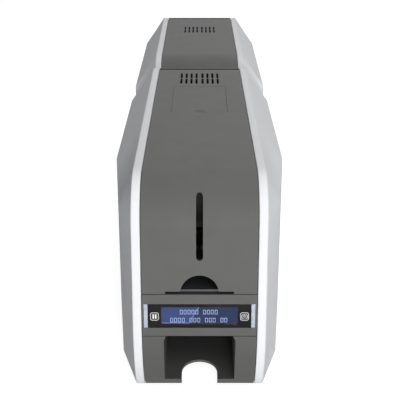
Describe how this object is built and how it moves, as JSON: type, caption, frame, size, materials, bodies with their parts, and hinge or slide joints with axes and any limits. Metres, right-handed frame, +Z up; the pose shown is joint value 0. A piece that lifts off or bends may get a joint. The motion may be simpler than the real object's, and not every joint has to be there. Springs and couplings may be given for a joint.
{
  "type": "id card printer",
  "caption": "Desktop ID card printer with a card laminator docked in line behind it, hinged dark top covers, silver side covers, display and card pocket in front.",
  "frame": {"origin": "middle of the footprint on the table, under the feet", "axes": "+Z up, the display and card pocket face -Y, +X is to the right seen from the front"},
  "size_m": [0.173, 0.7142, 0.202],
  "materials": {
    "aluminium": "milled",
    "belt_rubber": "matt",
    "black_plastic": "satin",
    "board_green": "solder mask",
    "button_black": "satin",
    "cassette_grey": "moulded",
    "dark_cover": "satin",
    "display_blue": "backlit",
    "foot_rubber": "matt",
    "gloss_black": "gloss",
    "heat_rubber": "silicone",
    "laminate_film": "film",
    "light_bar": "translucent",
    "motor_black": "satin",
    "ribbon_film": "film",
    "roller_rubber": "matt",
    "silver_cover": "satin metallic paint",
    "steel_shaft": "ground",
    "steel_sheet": "zinc plated",
    "sticky_rubber": "soft gloss",
    "white_plastic": "satin"
  },
  "bodies": {
    "chassis": {"printer_base_tray": "black_plastic", "printer_side_cover_right": "silver_cover", "printer_side_cover_left": "silver_cover", "printer_rear_panel": "black_plastic", "output_pocket": "dark_cover", "control_panel": "dark_cover", "display_bezel": "gloss_black", "display_screen": "display_blue", "status_light_bars": "light_bar", "cover_hinge_pins": "steel_shaft", "card_hopper": "cassette_grey", "printer_frame_plates": "steel_sheet", "card_guides": "steel_sheet", "drive_motors": "motor_black", "drive_belts": "belt_rubber", "ribbon_cassette": "cassette_grey", "fan_housing": "black_plastic", "printer_main_board": "board_green", "docking_frame": "black_plastic", "laminator_base_tray": "black_plastic", "laminator_side_cover_right": "silver_cover", "laminator_side_cover_left": "silver_cover", "laminator_front_panel": "dark_cover", "laminator_rear_panel": "black_plastic", "laminator_frame_plates": "steel_sheet", "heater_hood": "steel_sheet", "film_cassette": "cassette_grey", "power_inlet": "black_plastic", "data_ports": "black_plastic", "rear_screws": "steel_shaft", "rubber_feet": "foot_rubber"},
    "printer_cover": {"printer_top_cover": "dark_cover", "print_head": "aluminium"},
    "laminator_cover": {"laminator_top_cover": "dark_cover"},
    "top_hatch_body": {"top_hatch": "dark_cover"},
    "card_weight_body": {"card_weight": "white_plastic"},
    "left_button_body": {"left_button": "button_black"},
    "right_button_body": {"right_button": "button_black"},
    "pickup_roller_body": {"pickup_roller": "roller_rubber"},
    "cleaning_roller_body": {"cleaning_roller": "sticky_rubber"},
    "front_feed_roller_body": {"front_feed_roller": "roller_rubber"},
    "platen_roller_body": {"platen_roller": "roller_rubber"},
    "rear_feed_roller_body": {"rear_feed_roller": "roller_rubber"},
    "exit_feed_roller_body": {"exit_feed_roller": "roller_rubber"},
    "printer_motor_wheel_body": {"printer_motor_wheel": "white_plastic"},
    "rear_pinch_roller_body": {"rear_pinch_roller": "roller_rubber"},
    "exit_pinch_roller_body": {"exit_pinch_roller": "roller_rubber"},
    "laminator_entry_roller_body": {"laminator_entry_roller": "roller_rubber"},
    "pressure_roller_body": {"pressure_roller": "roller_rubber"},
    "laminator_outlet_roller_body": {"laminator_outlet_roller": "roller_rubber"},
    "laminator_motor_wheel_body": {"laminator_motor_wheel": "white_plastic"},
    "laminator_entry_pinch_roller_body": {"laminator_entry_pinch_roller": "roller_rubber"},
    "laminator_outlet_pinch_roller_body": {"laminator_outlet_pinch_roller": "roller_rubber"},
    "heat_roller_body": {"heat_roller": "heat_rubber"},
    "ribbon_takeup_spool_body": {"ribbon_takeup_spool": "ribbon_film"},
    "ribbon_supply_spool_body": {"ribbon_supply_spool": "ribbon_film"},
    "film_supply_spool_body": {"film_supply_spool": "laminate_film"},
    "film_takeup_spool_body": {"film_takeup_spool": "laminate_film"},
    "fan_rotor_body": {"fan_rotor": "black_plastic"},
    "power_switch_body": {"power_switch": "black_plastic"}
  },
  "joints": [
    {"name": "printer_cover_hinge", "type": "hinge", "parent": "chassis", "child": "printer_cover", "pos_m": [0, 0.0317, 0.196], "axis": [-1, 0, 0], "range_deg": [0, 70]},
    {"name": "laminator_cover_hinge", "type": "hinge", "parent": "chassis", "child": "laminator_cover", "pos_m": [0, 0.3457, 0.196], "axis": [-1, 0, 0], "range_deg": [0, 70]},
    {"name": "hatch_hinge", "type": "hinge", "parent": "printer_cover", "child": "top_hatch_body", "pos_m": [0, -0.05407, 0.1979], "axis": [-1, 0, 0], "range_deg": [0, 75]},
    {"name": "card_weight_slide", "type": "slide", "parent": "chassis", "child": "card_weight_body", "axis": [0, 0, 1], "range_m": [0, 0.06]},
    {"name": "left_button_press", "type": "slide", "parent": "chassis", "child": "left_button_body", "axis": [0, 0.9833, -0.1822], "range_m": [0, 0.0008], "stiffness_N_per_m": 400, "springref_m": -0.0005},
    {"name": "right_button_press", "type": "slide", "parent": "chassis", "child": "right_button_body", "axis": [0, 0.9833, -0.1822], "range_m": [0, 0.0008], "stiffness_N_per_m": 400, "springref_m": -0.0005},
    {"name": "pickup_roller_spin", "type": "hinge", "parent": "chassis", "child": "pickup_roller_body", "pos_m": [0, -0.2785, 0.0987], "axis": [1, 0, 0], "continuous": true},
    {"name": "cleaning_roller_spin", "type": "hinge", "parent": "chassis", "child": "cleaning_roller_body", "pos_m": [0, -0.2265, 0.1174], "axis": [1, 0, 0], "continuous": true},
    {"name": "front_feed_roller_spin", "type": "hinge", "parent": "chassis", "child": "front_feed_roller_body", "pos_m": [0, -0.2265, 0.1016], "axis": [1, 0, 0], "continuous": true},
    {"name": "platen_roller_spin", "type": "hinge", "parent": "chassis", "child": "platen_roller_body", "pos_m": [0, -0.15744, 0.1016], "axis": [1, 0, 0], "continuous": true},
    {"name": "rear_feed_roller_spin", "type": "hinge", "parent": "chassis", "child": "rear_feed_roller_body", "pos_m": [0, -0.08154, 0.1016], "axis": [1, 0, 0], "continuous": true},
    {"name": "exit_feed_roller_spin", "type": "hinge", "parent": "chassis", "child": "exit_feed_roller_body", "pos_m": [0, -0.00648, 0.1016], "axis": [1, 0, 0], "continuous": true},
    {"name": "printer_motor_wheel_spin", "type": "hinge", "parent": "chassis", "child": "printer_motor_wheel_body", "pos_m": [0, -0.15744, 0.0556], "axis": [1, 0, 0], "continuous": true},
    {"name": "rear_pinch_roller_spin", "type": "hinge", "parent": "chassis", "child": "rear_pinch_roller_body", "pos_m": [0, -0.08154, 0.1164], "axis": [1, 0, 0], "continuous": true},
    {"name": "exit_pinch_roller_spin", "type": "hinge", "parent": "chassis", "child": "exit_pinch_roller_body", "pos_m": [0, -0.00648, 0.1164], "axis": [1, 0, 0], "continuous": true},
    {"name": "laminator_entry_roller_spin", "type": "hinge", "parent": "chassis", "child": "laminator_entry_roller_body", "pos_m": [0, 0.07359, 0.1016], "axis": [1, 0, 0], "continuous": true},
    {"name": "pressure_roller_spin", "type": "hinge", "parent": "chassis", "child": "pressure_roller_body", "pos_m": [0, 0.18841, 0.1016], "axis": [1, 0, 0], "continuous": true},
    {"name": "laminator_outlet_roller_spin", "type": "hinge", "parent": "chassis", "child": "laminator_outlet_roller_body", "pos_m": [0, 0.30845, 0.1016], "axis": [1, 0, 0], "continuous": true},
    {"name": "laminator_motor_wheel_spin", "type": "hinge", "parent": "chassis", "child": "laminator_motor_wheel_body", "pos_m": [0, 0.18841, 0.0556], "axis": [1, 0, 0], "continuous": true},
    {"name": "laminator_entry_pinch_roller_spin", "type": "hinge", "parent": "chassis", "child": "laminator_entry_pinch_roller_body", "pos_m": [0, 0.07359, 0.1164], "axis": [1, 0, 0], "continuous": true},
    {"name": "laminator_outlet_pinch_roller_spin", "type": "hinge", "parent": "chassis", "child": "laminator_outlet_pinch_roller_body", "pos_m": [0, 0.30845, 0.1164], "axis": [1, 0, 0], "continuous": true},
    {"name": "heat_roller_spin", "type": "hinge", "parent": "chassis", "child": "heat_roller_body", "pos_m": [0, 0.18841, 0.1244], "axis": [1, 0, 0], "continuous": true},
    {"name": "ribbon_takeup_spool_spin", "type": "hinge", "parent": "chassis", "child": "ribbon_takeup_spool_body", "pos_m": [0, -0.20636, 0.1436], "axis": [1, 0, 0], "continuous": true},
    {"name": "ribbon_supply_spool_spin", "type": "hinge", "parent": "chassis", "child": "ribbon_supply_spool_body", "pos_m": [0, -0.10851, 0.1436], "axis": [1, 0, 0], "continuous": true},
    {"name": "film_supply_spool_spin", "type": "hinge", "parent": "chassis", "child": "film_supply_spool_body", "pos_m": [0, 0.12548, 0.15765], "axis": [1, 0, 0], "continuous": true},
    {"name": "film_takeup_spool_spin", "type": "hinge", "parent": "chassis", "child": "film_takeup_spool_body", "pos_m": [0, 0.25565, 0.15765], "axis": [1, 0, 0], "continuous": true},
    {"name": "fan_rotor_spin", "type": "hinge", "parent": "chassis", "child": "fan_rotor_body", "pos_m": [0, -0.00745, 0.1736], "axis": [0, 0, 1], "continuous": true},
    {"name": "power_switch_rock", "type": "hinge", "parent": "chassis", "child": "power_switch_body", "pos_m": [0.06255, 0.3495, 0.0756], "axis": [-1, 0, 0], "range_deg": [0, 12]}
  ],
  "couplings": [
    {"joint": "front_feed_roller_spin", "follows": "platen_roller_spin", "ratio": 1},
    {"joint": "rear_feed_roller_spin", "follows": "platen_roller_spin", "ratio": 1},
    {"joint": "exit_feed_roller_spin", "follows": "platen_roller_spin", "ratio": 1},
    {"joint": "printer_motor_wheel_spin", "follows": "platen_roller_spin", "ratio": 1},
    {"joint": "rear_pinch_roller_spin", "follows": "platen_roller_spin", "ratio": -1.3333},
    {"joint": "exit_pinch_roller_spin", "follows": "platen_roller_spin", "ratio": -1.3333},
    {"joint": "cleaning_roller_spin", "follows": "platen_roller_spin", "ratio": -1.1429},
    {"joint": "laminator_entry_roller_spin", "follows": "pressure_roller_spin", "ratio": 1},
    {"joint": "laminator_outlet_roller_spin", "follows": "pressure_roller_spin", "ratio": 1},
    {"joint": "laminator_motor_wheel_spin", "follows": "pressure_roller_spin", "ratio": 1},
    {"joint": "laminator_entry_pinch_roller_spin", "follows": "pressure_roller_spin", "ratio": -1.3333},
    {"joint": "laminator_outlet_pinch_roller_spin", "follows": "pressure_roller_spin", "ratio": -1.3333},
    {"joint": "heat_roller_spin", "follows": "pressure_roller_spin", "ratio": -0.57143},
    {"joint": "ribbon_takeup_spool_spin", "follows": "ribbon_supply_spool_spin", "ratio": 1.6667},
    {"joint": "film_takeup_spool_spin", "follows": "film_supply_spool_spin", "ratio": 1.5}
  ]
}
